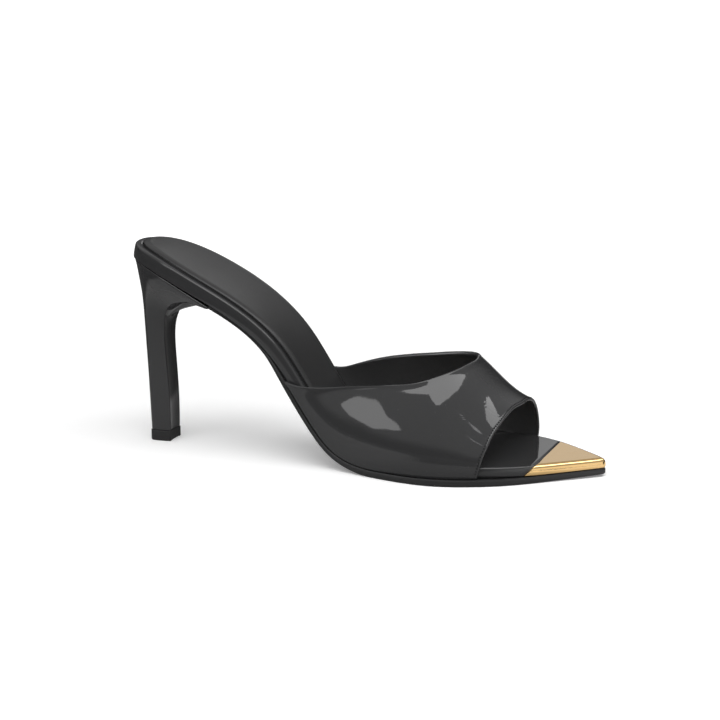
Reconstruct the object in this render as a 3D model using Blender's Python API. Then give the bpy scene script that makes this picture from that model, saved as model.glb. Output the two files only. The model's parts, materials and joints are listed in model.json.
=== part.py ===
"""Heeled mule with an open toe: the right shoe of a pair.

A wrapped footbed band runs from the seat to the pointed toe. A sock lies on it, a hollow vamp of
one wall is lasted round its edge, a metal cap covers its tip, an outsole closes the underside,
and a tall covered heel with a rubber top piece carries the seat. The toe points along +X, the
outer (lateral) side of the foot is at -Y, and the shoe stands on Z = 0.
"""

import math

import bpy
import numpy as np

MM = 0.001
GAP = 0.3  # clearance between pieces that touch on the real shoe

# Footbed band
LENGTH = 227.2  # seat to tip, along the floor
HEEL_RISE = 85.9  # underside at the seat, above the underside at the ball
BALL_HEIGHT = 3.4  # underside at the ball, above the floor
TOE_SPRING = 0.7  # underside at the tip, above the underside at the ball
BALL_WIDTH = 72.6
SEAT_WIDTH = 51.6
BAND_AT_SEAT = 6.8  # thickness of the band
BAND_AT_TIP = 4.2
BAND_ROUNDING = 1.7  # its wrapped top edge
TIP_ROUNDING = 3.0
SEAT_SQUARENESS = 2.2  # 2 would make the seat's end half an ellipse

# Sock
SOCK_MARGIN = 4.0  # rim of the band left bare round the sock
SOCK_THICKNESS = 1.6
SOCK_CROWN = 0.5
SOCK_END = 0.70  # share of the length, under the vamp

# Vamp
VAMP_HEIGHT = 51.6  # ridge at the throat, above the floor
VAMP_WALL = 1.6
VAMP_FULLNESS = 0.07  # how much squarer than an ellipse its section is
VAMP_BULGE = 1.2  # swell above the feather edge
BULGE_HEIGHT = 9.0
VAMP_LEAN = 4.6  # how far its sides lean in at the collar
LEAN_LOW = 9.0  # they lean from this height over the feather edge
LEAN_HIGH = 35.0  # and have their full lean here
LEAN_FADE = (0.60, 0.73)  # shares of the length between which the lean dies away

# Outsole
SOLE_AT_SHANK = 1.4
SOLE_AT_BALL = BALL_HEIGHT - GAP
SOLE_EDGE = 0.4  # bevel of its lower edge, across
SOLE_EDGE_SHARE = 0.25  # and as a share of its thickness

# Toe cap
CAP_WALL = 0.8
CAP_STEP = 0.3  # how far it stands out from the band
CAP_BACK = 0.8645  # its back edge at the underside, share of the length
CAP_SLOPE = 0.95  # how far that edge leans forward for each unit of height

# Heel
TIP_BACK = 6.9  # back of the heel's tip, from the back of the footbed
TIP_DEPTH = 10.9
TIP_WIDTH_BACK = 12.4
TIP_WIDTH_FRONT = 12.0
TIP_CORNER = 0.32  # share of its depth that its rounded back takes
TIP_SQUARENESS = 2.6
SIDE_CROWDING = 1.7  # points along a side of the heel lie closer together at its back
SEAT_BACK = 1.2  # back of the heel's seat, from the back of the footbed
SEAT_REACH = 45.4  # length of the seat along the band
HEEL_GROOVE = 0.8  # hollow of the breast
HEEL_LIP = 1.0  # edge of the seat under the band
LIP_INSET = 0.2
TOP_PIECE_HEIGHT = 5.0
TOP_PIECE_MARGIN = 0.35

# Side view of the band's underside: share of the length, share of the heel rise
ARCH = (
    (0.00, 1.000),
    (0.05, 0.972),
    (0.10, 0.925),
    (0.16, 0.854),
    (0.22, 0.775),
    (0.28, 0.674),
    (0.34, 0.521),
    (0.40, 0.288),
    (0.46, 0.089),
    (0.52, 0.014),
    (0.575, 0.000),
)
TREAD_END = 0.80  # the underside is level from the end of the arch to here

# Plan of the band: share of the length, then how much of the seat's width and of the ball's width
# the band has there
PLAN = (
    (0.18, 1.00, 0.000),
    (0.24, 0.976, 0.000),
    (0.34, 0.60, 0.196),
    (0.44, 0.25, 0.450),
    (0.54, 0.00, 0.772),
    (0.62, 0.00, 0.926),
    (0.70, 0.00, 1.012),
    (0.78, 0.00, 0.946),
    (0.86, 0.00, 0.760),
    (0.94, 0.00, 0.394),
    (1.00, 0.00, 0.078),
)
SEAT_END = PLAN[0][0]  # behind this the plan is a rounded end

# Middle line of the plan: share of the length, offset to the inner side as a share of the ball width
SWING = (
    (0.00, -0.003),
    (0.18, -0.010),
    (0.34, -0.036),
    (0.44, -0.048),
    (0.54, -0.055),
    (0.62, -0.043),
    (0.70, -0.017),
    (0.78, 0.015),
    (0.86, 0.036),
    (0.94, 0.038),
    (1.00, 0.022),
)

# Ridge of the last over the instep: share of the length, height as a share of the vamp height
RIDGE = (
    (0.38, 2.310),
    (0.50, 1.884),
    (0.60, 1.460),
    (0.68, 1.148),
    (0.73, 0.978),
    (0.76, 0.846),
    (0.80, 0.690),
    (0.85, 0.590),
)

# Edges of the vamp: share of the quarter turn from feather edge to ridge, then the collar on the
# outer and inner side and the toe opening on the outer and inner side as shares of the length
VAMP_EDGES = (
    (0.00, 0.368, 0.372, 0.783, 0.824),
    (0.10, 0.416, 0.419, 0.789, 0.827),
    (0.20, 0.480, 0.467, 0.795, 0.829),
    (0.275, 0.549, 0.517, 0.800, 0.8295),
    (0.35, 0.607, 0.572, 0.804, 0.830),
    (0.50, 0.671, 0.651, 0.813, 0.831),
    (0.70, 0.714, 0.711, 0.822, 0.833),
    (0.85, 0.728, 0.727, 0.828, 0.834),
    (1.00, 0.733, 0.733, 0.834, 0.834),
)

# Outsole: share of the length, margin beyond the band, share of the way from shank to ball thickness
SOLE = (
    (0.21, -0.6, 0.0),
    (0.33, 0.0, 0.0),
    (0.37, 1.9, 0.3),
    (0.40, 2.3, 0.3),
    (0.46, 2.4, 0.4),
    (0.54, 2.5, 1.0),
    (0.82, 2.5, 1.0),
    (0.88, 0.9, 1.0),
    (0.95, 0.5, 0.87),
    (1.00, 0.4, 0.70),
)
SOLE_BACK_GAP = 0.5  # between the heel's seat and the back of the outsole

# Heel sections, tip to seat. Heights are shares of the band's height over the floor at the seat.
# back: back line; corner and centre: breast at its corner and its middle; reach: how far the breast
# has moved from the tip's depth to the seat's; spread: how far the width has grown from tip to seat.
HEEL = (
    # back, corner, centre, line, reach, centre reach, back spread, corner spread
    (0.059, 0.059, 0.059, 0.000, 0.000, 0.000, 0.000, 0.000),
    (0.200, 0.200, 0.200, 0.110, 0.018, 0.018, 0.002, 0.002),
    (0.360, 0.360, 0.360, 0.220, 0.016, 0.016, 0.010, 0.008),
    (0.510, 0.505, 0.500, 0.340, 0.010, 0.010, 0.035, 0.020),
    (0.635, 0.608, 0.590, 0.420, 0.022, 0.016, 0.110, 0.055),
    (0.745, 0.682, 0.645, 0.445, 0.062, 0.038, 0.300, 0.160),
    (0.835, 0.740, 0.684, 0.490, 0.148, 0.116, 0.560, 0.330),
    (0.905, 0.779, 0.718, 0.635, 0.334, 0.302, 0.800, 0.550),
    (0.955, 0.802, 0.752, 0.830, 0.630, 0.610, 0.950, 0.800),
)

STATION_STEP = 5.8  # length of the band's facets
EASED_LENGTH = 14.0  # stretch at each end of the band where they shorten
EASED_STEPS = 6
VAMP_ROUND = 36  # facets round the vamp
VAMP_ALONG = 18
HEEL_RINGS = 20
HEEL_SIDE = 9
HEEL_FRONT = 6


def spline(knots, values, start=None, end=None):
    """A cubic through the values whose bend never jumps. start and end are slopes, if they are set."""
    x = np.array(knots, float)
    y = np.array(values, float)
    step = np.diff(x)
    slope = np.diff(y) / step
    count = len(x)
    matrix = np.eye(count)
    right = np.zeros(count)
    for i in range(1, count - 1):
        matrix[i, i - 1 : i + 2] = step[i - 1], 2 * (step[i - 1] + step[i]), step[i]
        right[i] = 6 * (slope[i] - slope[i - 1])
    if start is not None:
        matrix[0, :2] = 2 * step[0], step[0]
        right[0] = 6 * (slope[0] - start)
    if end is not None:
        matrix[-1, -2:] = step[-1], 2 * step[-1]
        right[-1] = 6 * (end - slope[-1])
    bend = np.linalg.solve(matrix, right)

    def value(at):
        at = np.clip(np.asarray(at, float), x[0], x[-1])
        i = np.clip(np.searchsorted(x, at) - 1, 0, count - 2)
        past = at - x[i]
        left = x[i + 1] - at
        cubic = (bend[i] * left**3 + bend[i + 1] * past**3) / (6 * step[i])
        straight = (y[i] / step[i] - bend[i] * step[i] / 6) * left
        return cubic + straight + (y[i + 1] / step[i] - bend[i + 1] * step[i] / 6) * past

    return value


def column(table, index):
    return [row[index] for row in table]


arch_share = spline(column(ARCH, 0), column(ARCH, 1), end=0)
seat_share = spline(column(PLAN, 0), column(PLAN, 1), start=0)
ball_share = spline(column(PLAN, 0), column(PLAN, 2), start=0)
swing_share = spline(column(SWING, 0), column(SWING, 1))
ridge_share = spline(column(RIDGE, 0), column(RIDGE, 1))
collar_outer = spline(column(VAMP_EDGES, 0), column(VAMP_EDGES, 1), end=0)
collar_inner = spline(column(VAMP_EDGES, 0), column(VAMP_EDGES, 2), end=0)
toe_outer = spline(column(VAMP_EDGES, 0), column(VAMP_EDGES, 3), end=0)
toe_inner = spline(column(VAMP_EDGES, 0), column(VAMP_EDGES, 4), end=0)


def underside(x):
    """Height of the band's underside over the floor."""
    u = np.asarray(x, float) / LENGTH
    spring = np.clip((u - TREAD_END) / (1 - TREAD_END), 0, 1) ** 2
    return BALL_HEIGHT + HEEL_RISE * arch_share(u) + TOE_SPRING * spring


def band_thickness(x):
    return BAND_AT_SEAT + (BAND_AT_TIP - BAND_AT_SEAT) * np.asarray(x, float) / LENGTH


def half_width(x):
    """Half the band's width: a rounded end at the seat, then the plan, rounded at the tip."""
    x = np.asarray(x, float)
    u = x / LENGTH
    seat = (1 - np.clip(1 - u / SEAT_END, 0, 1) ** SEAT_SQUARENESS) ** (1 / SEAT_SQUARENESS)
    tip = np.sqrt(np.clip((LENGTH - x) / (LENGTH - x + TIP_ROUNDING), 0, 1))
    along = np.maximum(u, SEAT_END)
    width = SEAT_WIDTH * seat_share(along) + BALL_WIDTH * ball_share(along)
    return 0.5 * width * seat * tip


def middle(x):
    return BALL_WIDTH * swing_share(np.asarray(x, float) / LENGTH)


def on_band(x, y, height):
    """A point over (x, y) on the band's underside, raised square to it. Arrays in, rows of points out."""
    x = np.asarray(x, float)
    slope = (underside(x + 0.05) - underside(x - 0.05)) / 0.1
    length = np.sqrt(1 + slope**2)
    return np.stack([x - height * slope / length, y + 0 * x, underside(x) + height / length], -1)


def stations(start=0.0, end=LENGTH):
    """Places along the band, closer together towards its two ends, cut to a stretch of it."""
    ease = EASED_LENGTH * np.linspace(0, 1, EASED_STEPS + 1) ** 2
    count = round((LENGTH - 2 * EASED_LENGTH) / STATION_STEP)
    level = np.linspace(EASED_LENGTH, LENGTH - EASED_LENGTH, count + 1)[1:-1]
    x = np.concatenate([ease, level, LENGTH - ease[::-1]])
    inside = x[(x > start + 1) & (x < end - 1)]
    if end == LENGTH:
        inside = x[x > start + 1]
    if start == 0.0:
        inside = np.concatenate([x[x <= 1], inside])
    first = [] if start == 0.0 else [start]
    last = [] if end == LENGTH else [end]
    return np.concatenate([first, inside, last])


def side_line(places, side, inset):
    """Plan points along one side of the band, moved in from its edge. side is -1 outer, 1 inner."""
    x = np.array(places, float)
    y = middle(x) + side * half_width(x)
    run = np.gradient(x)
    fall = np.gradient(y)
    if x[0] == 0:
        run[0], fall[0] = 0, side
    if x[-1] == LENGTH:
        run[-1], fall[-1] = 0, -side
    length = np.hypot(run, fall)
    inset = np.broadcast_to(inset, x.shape)
    return x + side * inset * fall / length, y - side * inset * run / length


def band_ring(places, inset, height):
    """Points round the band at an inset from its edge and a height over its underside."""
    outer_x, outer_y = side_line(places, -1, inset)
    inner_x, inner_y = side_line(places, 1, inset)
    keep_tip = places[-1] == LENGTH
    last = -1 if keep_tip else None
    x = np.concatenate([outer_x, inner_x[1:last][::-1]])
    y = np.concatenate([outer_y, inner_y[1:last][::-1]])
    lift = height(x) if callable(height) else height
    return on_band(x, y, lift)


def strips_across(start, places, keep_tip, upward):
    """Faces that close a ring of the band from side to side."""
    total = 2 * places - (2 if keep_tip else 1)
    faces = []
    for i in range(places - 1):
        left = [start + i, start + i + 1]
        right = [start + (total - i - 1) % total, start + (total - i) % total]
        face = left + [v for v in right if v not in left]
        seen = []
        for v in face:
            if v not in seen:
                seen.append(v)
        faces.append(seen if upward else seen[::-1])
    return faces


def ring_walls(first, second, count):
    """Faces between two rings of the same count, the second above or outside the first."""
    return [
        [first + i, first + (i + 1) % count, second + (i + 1) % count, second + i]
        for i in range(count)
    ]


def add_object(name, points, faces, material):
    """A mesh object from points in millimetres."""
    mesh = bpy.data.meshes.new(name)
    mesh.from_pydata([tuple(float(c) * MM for c in p) for p in points], [], faces)
    mesh.materials.append(material)
    mesh.validate()
    mesh.update()
    thing = bpy.data.objects.new(name, mesh)
    bpy.context.scene.collection.objects.link(thing)
    mesh.shade_smooth()
    mesh.set_sharp_from_angle(angle=math.radians(35))
    return thing


def make_material(name, colour, roughness, metallic=0.0, coat=0.0):
    material = bpy.data.materials.new(name)
    material.use_nodes = True
    shader = material.node_tree.nodes["Principled BSDF"]
    shader.inputs["Base Color"].default_value = (*colour, 1)
    shader.inputs["Roughness"].default_value = roughness
    shader.inputs["Metallic"].default_value = metallic
    shader.inputs["Coat Weight"].default_value = coat
    material.diffuse_color = (*colour, 1)
    return material


def stack_of_rings(name, places, profile, material):
    """A closed solid from rings round the band, bottom to top. A profile row is (inset, height)."""
    rings = [band_ring(places, inset, height) for inset, height in profile]
    count = len(rings[0])
    keep_tip = places[-1] == LENGTH
    faces = strips_across(0, len(places), keep_tip, upward=False)
    for level in range(len(rings) - 1):
        faces += ring_walls(level * count, (level + 1) * count, count)
    faces += strips_across((len(rings) - 1) * count, len(places), keep_tip, upward=True)
    return add_object(name, np.concatenate(rings), faces, material)


def subtract(thing, cutter, name):
    """Cuts one object with another, which stays as a hidden guide."""
    modifier = thing.modifiers.new(name, "BOOLEAN")
    modifier.operation = "DIFFERENCE"
    modifier.solver = "EXACT"
    modifier.object = cutter
    cutter.hide_render = True
    cutter.display_type = "WIRE"


def over_band(share, extra):
    """Height over the underside: a share of the band's thickness and something more."""
    return lambda x: share * band_thickness(x) + extra


def band_profile(offset, bottom):
    """Rings of the band's own form, grown by an offset, from a bottom height up."""
    r = BAND_ROUNDING
    return [
        (0.35 - offset, bottom),
        (-offset, bottom + 0.35),
        (-offset, over_band(1, offset - r)),
        (0.30 * r - offset, over_band(1, offset - 0.30 * r)),
        (r - offset, over_band(1, offset)),
    ]


def slab(name, cut, far, material):
    """A block across the shoe from a leaning cut face to an upright far end."""
    low, high, wide = -0.1 * LENGTH, HEEL_RISE + 0.2 * LENGTH, BALL_WIDTH
    base = float(underside(cut))
    points = []
    for x, lean in sorted(((cut, CAP_SLOPE), (far, 0.0))):
        for z in (low, high):
            for y in (-wide, wide):
                points.append((x + lean * (z - base), y, z))
    faces = [[2, 3, 1, 0], [5, 7, 6, 4], [1, 5, 4, 0], [6, 7, 3, 2], [4, 6, 2, 0], [3, 7, 5, 1]]
    return add_object(name, points, faces, material)


def make_footbed(material):
    """The wrapped band, stepped in at its tip where the metal cap sits."""
    places = stations()
    band = stack_of_rings("footbed", places, band_profile(0, 0), material)
    step = CAP_WALL + GAP - CAP_STEP
    core = stack_of_rings("tip_core", places, band_profile(-step, -1), material)
    ahead = slab("ahead_of_cap_edge", CAP_BACK * LENGTH - GAP, 2 * LENGTH, material)
    subtract(ahead, core, "keep_core")
    subtract(band, ahead, "step_for_cap")
    return band


def make_toe_cap(material):
    """A thin shell over the band's tip, open underneath and at the back."""
    places = stations()
    cap = stack_of_rings("toe_cap", places, band_profile(CAP_STEP, 0), material)
    hollow = stack_of_rings("cap_hollow", places, band_profile(CAP_STEP - CAP_WALL, -1), material)
    behind = slab("behind_cap_edge", CAP_BACK * LENGTH, -0.1 * LENGTH, material)
    subtract(cap, behind, "back_edge")
    subtract(cap, hollow, "hollow")
    return cap


def make_sock(material):
    """The padded sock on the band, ending under the vamp."""
    places = stations(end=SOCK_END * LENGTH)
    m, t = SOCK_MARGIN, SOCK_THICKNESS
    profile = [
        (m + 0.3, over_band(1, GAP)),
        (m, over_band(1, GAP + 0.3)),
        (m, over_band(1, GAP + 0.6 * t)),
        (m + 1.0, over_band(1, GAP + t)),
        (m + 5.0, over_band(1, GAP + t + SOCK_CROWN)),
    ]
    return stack_of_rings("sock", places, profile, material)


def make_outsole(material):
    """The thin outsole from the heel's seat to the tip, thicker under the ball, where it is flat."""
    margin = spline(column(SOLE, 0), column(SOLE, 1))
    growth = spline(column(SOLE, 0), column(SOLE, 2))
    start = SEAT_BACK + SEAT_REACH + SOLE_BACK_GAP
    places = stations(start=start)

    def thickness(x):
        share = np.clip(growth(np.asarray(x, float) / LENGTH), 0, 1)
        return SOLE_AT_SHANK + (SOLE_AT_BALL - SOLE_AT_SHANK) * share

    out = margin(places / LENGTH)
    rings = []
    for inset, height in (
        (SOLE_EDGE, lambda x: -GAP - thickness(x)),
        (0.0, lambda x: -GAP - (1 - SOLE_EDGE_SHARE) * thickness(x)),
        (0.0, lambda x: -GAP + 0 * x),
    ):
        outer_x, outer_y = side_line(places, -1, inset - out)
        inner_x, inner_y = side_line(places, 1, inset - out)
        outer_x[0] = inner_x[0] = start
        x = np.concatenate([outer_x, inner_x[:-1][::-1]])
        y = np.concatenate([outer_y, inner_y[:-1][::-1]])
        rings.append(on_band(x, y, height(x)))
    count = len(rings[0])
    faces = []
    for level in range(len(rings) - 1):
        faces += ring_walls(level * count, (level + 1) * count, count)
    for base, upward in ((0, False), ((len(rings) - 1) * count, True)):
        for i in range(len(places) - 1):
            face = [base + i, base + i + 1, base + count - 2 - i, base + count - 1 - i]
            if i == len(places) - 2:
                face = [base + i, base + i + 1, base + count - 1 - i]
            faces.append(face if upward else face[::-1])
    return add_object("outsole", np.concatenate(rings), faces, material)


def vamp_surface(along, turn):
    """A point on the vamp's outer face. along runs 0 to 1 from collar to toe opening, and turn
    0 to 1 from the outer feather edge over the ridge to the inner one."""
    quarter = 1 - np.abs(2 * turn - 1)
    inner = turn > 0.5
    back = np.where(inner, collar_inner(quarter), collar_outer(quarter))
    front = np.where(inner, toe_inner(quarter), toe_outer(quarter))
    x = LENGTH * (back + (front - back) * along)
    angle = np.pi * turn
    across, up = np.cos(angle), np.sin(angle)
    floor = underside(x)
    tall = VAMP_HEIGHT * ridge_share(x / LENGTH) - floor
    z = tall * up * (1 + VAMP_FULLNESS * across**2)
    edge = half_width(x)
    taper = (half_width(x + 0.5) - half_width(x - 0.5)) / 1.0
    grow = (VAMP_WALL + GAP) * np.sqrt(1 + taper**2)
    y = (edge + grow) * across * (1 + VAMP_FULLNESS * up**2)
    swell = VAMP_BULGE * (z / BULGE_HEIGHT) * np.exp(1 - z / BULGE_HEIGHT)
    rise = np.clip((z - LEAN_LOW) / (LEAN_HIGH - LEAN_LOW), 0, None)
    fade = np.clip((LEAN_FADE[1] - x / LENGTH) / (LEAN_FADE[1] - LEAN_FADE[0]), 0, 1)
    lean = VAMP_LEAN * rise**2 * fade**2 * (3 - 2 * fade)
    y = y + (swell - lean) * np.clip(4 * across, -1, 1)
    return np.stack([x, middle(x) - y, floor + z], -1)


def make_vamp(material):
    """The hollow upper: one wall from collar to toe opening, open underneath."""
    along, turn = np.meshgrid(
        np.linspace(0, 1, VAMP_ALONG + 1), np.linspace(0, 1, VAMP_ROUND + 1), indexing="ij"
    )
    outer = vamp_surface(along, turn)
    small = 1e-3
    down_length = vamp_surface(along + small, turn) - vamp_surface(along - small, turn)
    turn_in = np.clip(turn, small, 1 - small)
    round_it = vamp_surface(along, turn_in + small) - vamp_surface(along, turn_in - small)
    normal = np.cross(down_length, round_it)
    normal /= np.linalg.norm(normal, axis=-1, keepdims=True)
    inside = outer - VAMP_WALL * normal
    for side in (0, -1):
        inside[:, side, 2] = underside(inside[:, side, 0])
    rows, columns = along.shape
    sheet = rows * columns
    points = np.concatenate([outer.reshape(-1, 3), inside.reshape(-1, 3)])
    faces = []
    for i in range(rows - 1):
        for j in range(columns - 1):
            a, b = i * columns + j, i * columns + j + 1
            c, d = a + columns, b + columns
            faces.append([a, c, d, b])
            faces.append([sheet + a, sheet + b, sheet + d, sheet + c])
    rim = [(i, 0) for i in range(rows)] + [(rows - 1, j) for j in range(1, columns)]
    rim += [(i, columns - 1) for i in range(rows - 2, -1, -1)] + [(0, j) for j in range(columns - 2, 0, -1)]
    index = [i * columns + j for i, j in rim]
    for k, a in enumerate(index):
        b = index[(k + 1) % len(index)]
        faces.append([a, sheet + a, sheet + b, b])
    return add_object("vamp", points, faces, material)


def tip_side(f):
    """Half width of the heel's tip section, 0 at its back to 1 at its breast."""
    past = 1 - np.clip(f / TIP_CORNER, 0, 1)
    rounding = (1 - past**TIP_SQUARENESS) ** (1 / TIP_SQUARENESS)
    return 0.5 * (TIP_WIDTH_BACK + (TIP_WIDTH_FRONT - TIP_WIDTH_BACK) * f) * rounding


def heel_ring(row):
    """One closed section of the heel, from the back round the outer side, breast and inner side."""
    back, corner, centre, line, reach, centre_reach, back_spread, corner_spread = row
    tall = float(underside(0))
    f = np.linspace(0, 1, HEEL_SIDE + 1) ** SIDE_CROWDING
    x_back = TIP_BACK + (SEAT_BACK - TIP_BACK) * line
    depth = TIP_DEPTH + (SEAT_REACH - TIP_DEPTH) * reach
    x = x_back + f * depth
    seat_x = SEAT_BACK + f * SEAT_REACH
    spread = back_spread + (corner_spread - back_spread) * f
    wide = (1 - spread) * tip_side(f) + spread * half_width(seat_x)
    shift = spread * middle(seat_x)
    straight = underside(SEAT_BACK) + f * (underside(SEAT_BACK + SEAT_REACH) - underside(SEAT_BACK))
    z = tall * (back + (corner - back) * f) + back_spread * (underside(seat_x) - straight)
    g = np.linspace(-1, 1, HEEL_FRONT + 1)[1:-1]
    bow = 1 - g**2
    centre_x = TIP_DEPTH + (SEAT_REACH - TIP_DEPTH) * centre_reach - HEEL_GROOVE * (1 - reach)
    front_x = x_back + depth + bow * (centre_x - depth)
    front_y = g * wide[-1] + shift[-1]
    front_z = tall * (corner + bow * (centre - corner)) + 0 * g
    outer = np.stack([x, shift - wide, z], -1)
    front = np.stack([front_x, front_y, front_z], -1)
    inner = np.stack([x, shift + wide, z], -1)[1:][::-1]
    return np.concatenate([outer, front, inner])


def seat_ring(height, inset):
    """The heel's seat: the band's own plan, at a height under it."""
    f = np.linspace(0, 1, HEEL_SIDE + 1) ** SIDE_CROWDING
    x = SEAT_BACK + f * SEAT_REACH
    shrink = 1 - inset / (0.5 * SEAT_WIDTH)
    wide = half_width(x - SEAT_BACK * (1 - f)) * shrink
    g = np.linspace(-1, 1, HEEL_FRONT + 1)[1:-1]
    front_x = np.full(len(g), x[-1])
    outer = on_band(x, middle(x) - wide, height)
    front = on_band(front_x, middle(front_x) + g * wide[-1], height)
    inner = on_band(x, middle(x) + wide, height)[1:][::-1]
    return np.concatenate([outer, front, inner])


def close_ring(start, upward):
    """Faces across a heel ring, from side to side, and a fan-free strip along the breast."""
    count = 2 * HEEL_SIDE + HEEL_FRONT
    faces = []
    for i in range(HEEL_SIDE):
        face = [start + i, start + i + 1, start + count - i - 1, start + (count - i) % count]
        if i == 0:
            face = [start, start + 1, start + count - 1]
        faces.append(face)
    breast = [start + HEEL_SIDE + k for k in range(HEEL_FRONT + 1)]
    faces.append(breast)
    return faces if upward else [face[::-1] for face in faces]


def make_heel(material):
    """The covered heel: slim at the tip, spread at the seat, with a hollow breast."""
    levels = np.arange(len(HEEL))
    curves = [spline(levels, column(HEEL, k)) for k in range(len(HEEL[0]))]
    at = np.linspace(0, levels[-1], HEEL_RINGS)
    rings = [heel_ring([float(curve(level)) for curve in curves]) for level in at]
    bottom = TOP_PIECE_HEIGHT + GAP
    rings[0][:, 2] = bottom
    rings.append(seat_ring(-GAP - HEEL_LIP, LIP_INSET))
    rings.append(seat_ring(-GAP, 0.0))
    count = len(rings[0])
    faces = close_ring(0, upward=False)
    for level in range(len(rings) - 1):
        faces += ring_walls(level * count, (level + 1) * count, count)
    faces += close_ring((len(rings) - 1) * count, upward=True)
    return add_object("heel", np.concatenate(rings), faces, material)


def make_top_piece(material):
    """The rubber top piece that the heel stands on."""
    ring = heel_ring(HEEL[0])
    centre = ring.mean(0)
    away = ring[:, :2] - centre[:2]
    reach = np.linalg.norm(away, axis=1, keepdims=True)
    grown = ring[:, :2] + away / reach * TOP_PIECE_MARGIN
    points = []
    for height, share in ((0.0, 0.985), (0.4, 1.0), (TOP_PIECE_HEIGHT, 1.0)):
        flat = centre[:2] + (grown - centre[:2]) * share
        points.append(np.column_stack([flat, np.full(len(flat), height)]))
    count = len(ring)
    faces = close_ring(0, upward=False)
    faces += ring_walls(0, count, count)
    faces += ring_walls(count, 2 * count, count)
    faces += close_ring(2 * count, upward=True)
    return add_object("top_piece", np.concatenate(points), faces, material)


def centre_on_floor(things):
    """Puts the middle of the whole shoe over the origin, through one empty."""
    bpy.context.view_layer.update()
    graph = bpy.context.evaluated_depsgraph_get()
    corners = []
    for thing in things:
        mesh = thing.evaluated_get(graph).to_mesh()
        corners += [tuple(v.co) for v in mesh.vertices]
    corners = np.array(corners)
    low, high = corners.min(0), corners.max(0)
    empty = bpy.data.objects.new("shoe", None)
    bpy.context.scene.collection.objects.link(empty)
    empty.location = (-(low[0] + high[0]) / 2, -(low[1] + high[1]) / 2, -low[2])
    for thing in bpy.context.scene.objects:
        if thing is not empty:
            thing.parent = empty


def main():
    for thing in list(bpy.data.objects):
        bpy.data.objects.remove(thing)
    patent = make_material("black_patent", (0.012, 0.012, 0.013), 0.12, coat=1.0)
    satin = make_material("black_lining", (0.020, 0.020, 0.021), 0.42)
    gold = make_material("polished_gold", (0.86, 0.62, 0.33), 0.12, metallic=1.0)
    sole_black = make_material("sole_black", (0.018, 0.018, 0.019), 0.38)
    rubber = make_material("top_piece_rubber", (0.015, 0.015, 0.016), 0.6)
    shoe = [
        make_footbed(patent),
        make_sock(satin),
        make_vamp(patent),
        make_toe_cap(gold),
        make_outsole(sole_black),
        make_heel(patent),
        make_top_piece(rubber),
    ]
    centre_on_floor(shoe)


main()
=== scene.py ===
import json
import math

import bpy
import numpy as np
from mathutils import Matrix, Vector

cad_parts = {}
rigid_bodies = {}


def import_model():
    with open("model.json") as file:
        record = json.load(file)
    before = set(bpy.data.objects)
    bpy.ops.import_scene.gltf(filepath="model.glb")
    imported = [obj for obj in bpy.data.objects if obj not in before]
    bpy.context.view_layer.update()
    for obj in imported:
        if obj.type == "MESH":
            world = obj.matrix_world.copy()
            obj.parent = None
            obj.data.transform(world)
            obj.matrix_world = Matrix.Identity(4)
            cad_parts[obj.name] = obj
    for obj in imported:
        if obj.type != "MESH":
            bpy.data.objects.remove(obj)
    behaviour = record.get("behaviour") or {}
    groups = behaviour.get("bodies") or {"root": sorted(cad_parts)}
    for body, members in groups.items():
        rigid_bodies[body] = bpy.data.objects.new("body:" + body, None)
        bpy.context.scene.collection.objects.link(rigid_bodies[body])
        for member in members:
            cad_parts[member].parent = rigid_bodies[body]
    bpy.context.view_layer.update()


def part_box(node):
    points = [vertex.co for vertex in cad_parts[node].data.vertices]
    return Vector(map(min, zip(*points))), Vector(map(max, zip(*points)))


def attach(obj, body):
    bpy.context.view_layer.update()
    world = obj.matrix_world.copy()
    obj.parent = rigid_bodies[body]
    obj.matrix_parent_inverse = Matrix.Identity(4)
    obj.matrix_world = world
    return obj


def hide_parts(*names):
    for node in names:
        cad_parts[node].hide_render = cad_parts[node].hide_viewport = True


print("loading the packed frame")
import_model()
scene = bpy.context.scene
scene.view_settings.view_transform = "Standard"

# The last: lengths in millimetres, tables as shares of its length
last = {
    "length": 227.2,
    "heelRise": 85.9,
    "ballHeight": 3.4,
    "toeSpring": 0.7,
    "ballWidth": 72.6,
    "seatWidth": 51.6,
    "bandAtSeat": 6.8,
    "bandAtTip": 4.2,
    "tipRounding": 3.0,
    "seatSquareness": 2.2,
    "treadEnd": 0.80,
    "clearance": 0.3,
}
archRows = [  # share, height as a share of the heel rise
    (0.00, 1.000), (0.05, 0.972), (0.10, 0.925), (0.16, 0.854), (0.22, 0.775), (0.28, 0.674),
    (0.34, 0.521), (0.40, 0.288), (0.46, 0.089), (0.52, 0.014), (0.575, 0.000),
]
planRows = [  # share, how much of the seat's width and of the ball's width
    (0.18, 1.00, 0.000), (0.24, 0.976, 0.000), (0.34, 0.60, 0.196), (0.44, 0.25, 0.450),
    (0.54, 0.00, 0.772), (0.62, 0.00, 0.926), (0.70, 0.00, 1.012), (0.78, 0.00, 0.946),
    (0.86, 0.00, 0.760), (0.94, 0.00, 0.394), (1.00, 0.00, 0.078),
]
swingRows = [  # share, offset to the inner side as a share of the ball width
    (0.00, -0.003), (0.18, -0.010), (0.34, -0.036), (0.44, -0.048), (0.54, -0.055),
    (0.62, -0.043), (0.70, -0.017), (0.78, 0.015), (0.86, 0.036), (0.94, 0.038), (1.00, 0.022),
]


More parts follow.
